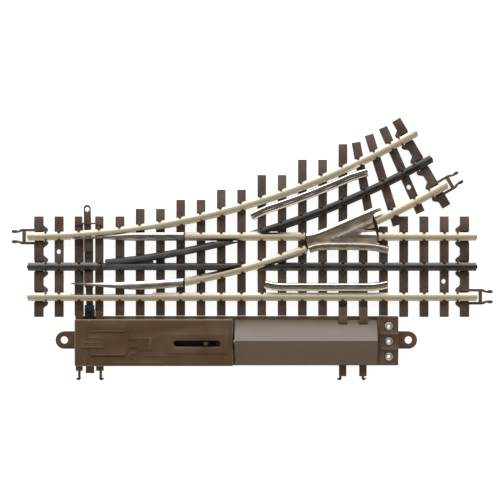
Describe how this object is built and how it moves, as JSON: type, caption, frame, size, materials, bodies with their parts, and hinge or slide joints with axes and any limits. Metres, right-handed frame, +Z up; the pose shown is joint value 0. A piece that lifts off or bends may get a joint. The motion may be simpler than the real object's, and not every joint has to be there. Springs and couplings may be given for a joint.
{
  "type": "model turnout switch",
  "caption": "Left-hand three-rail O-gauge turnout with plated point blades, cast frog, guard rails and a low side-mounted twin-coil switch machine with hand throw.",
  "frame": {"origin": "middle of the overall footprint, on the underside of the ties", "axes": "+X along the straight route from the point end to the frog end, +Y to the left of that travel, the side the diverging route leaves on, +Z up off the table"},
  "size_m": [0.2728, 0.149, 0.015],
  "materials": {
    "nickel_silver": "satin nickel-silver running rail",
    "blackened_rail": "chemically blackened rail with burnished edges",
    "black_casting": "black coated casting",
    "frog_plating": "satin plated casting",
    "bright_plating": "bright nickel plating",
    "steel_screws": "plain steel",
    "tie_brown": "matte dark brown moulding",
    "case_brown": "satin brown moulding",
    "black_plastic": "matte black moulding",
    "brass_strip": "brass strip",
    "copper_wire": "enamelled copper wire",
    "steel_frame": "zinc plated steel",
    "spring_steel": "spring steel"
  },
  "bodies": {
    "track_and_machine": {"stock_rail_diverging": "nickel_silver", "stock_rail_straight": "nickel_silver", "closure_rail_straight": "nickel_silver", "closure_rail_diverging": "nickel_silver", "exit_rail_straight": "nickel_silver", "exit_rail_diverging": "nickel_silver", "centre_rail_entry": "blackened_rail", "centre_rail_y_casting": "black_casting", "centre_rail_straight": "blackened_rail", "centre_rail_diverging": "blackened_rail", "frog_casting": "frog_plating", "frog_screws": "steel_screws", "guard_rail_straight": "bright_plating", "guard_rail_diverging": "bright_plating", "heel_pivot_pins": "steel_screws", "throwbar_keeper": "tie_brown", "tie_base": "tie_brown", "centre_rail_jumper": "brass_strip", "guard_rail_screws": "steel_screws", "rail_insulators": "black_plastic", "rail_spikes": "tie_brown", "machine_base": "case_brown", "case_screws": "steel_screws", "machine_case": "case_brown", "access_hatch": "case_brown", "coil_cover": "case_brown", "terminal_block": "case_brown", "contact_strips": "brass_strip", "terminal_eyelets": "bright_plating", "coil_bobbins": "black_plastic", "coil_windings": "copper_wire", "solenoid_frame": "steel_frame", "coil_leads": "copper_wire", "detent_spring": "spring_steel"},
    "drive_core": {"drive_slide": "black_plastic", "plunger": "steel_frame", "hand_pin": "case_brown"},
    "throwbar_unit": {"throwbar": "tie_brown", "blade_drive_pins": "steel_screws", "output_slide": "black_plastic"},
    "straight_point": {"point_blade_straight": "bright_plating"},
    "diverging_point": {"point_blade_diverging": "bright_plating"}
  },
  "joints": [
    {"name": "drive_slide", "type": "slide", "parent": "track_and_machine", "child": "drive_core", "axis": [1, 0, 0], "range_m": [-0.0095, 0]},
    {"name": "throwbar_slide", "type": "slide", "parent": "track_and_machine", "child": "throwbar_unit", "axis": [0, 1, 0], "range_m": [-0.0048, 0]},
    {"name": "straight_point_hinge", "type": "hinge", "parent": "track_and_machine", "child": "straight_point", "pos_m": [-0.041, 0.00701, 0.0046], "axis": [0, 0, 1], "range_deg": [0, 5.3]},
    {"name": "diverging_point_hinge", "type": "hinge", "parent": "track_and_machine", "child": "diverging_point", "pos_m": [-0.041, -0.01921, 0.0046], "axis": [0, 0, 1], "range_deg": [0, 5.3]}
  ],
  "couplings": [
    {"joint": "throwbar_slide", "follows": "drive_slide", "ratio": 0.50526},
    {"joint": "straight_point_hinge", "follows": "drive_slide", "rad_per_m": -9.7305},
    {"joint": "diverging_point_hinge", "follows": "drive_slide", "rad_per_m": -9.7305}
  ]
}
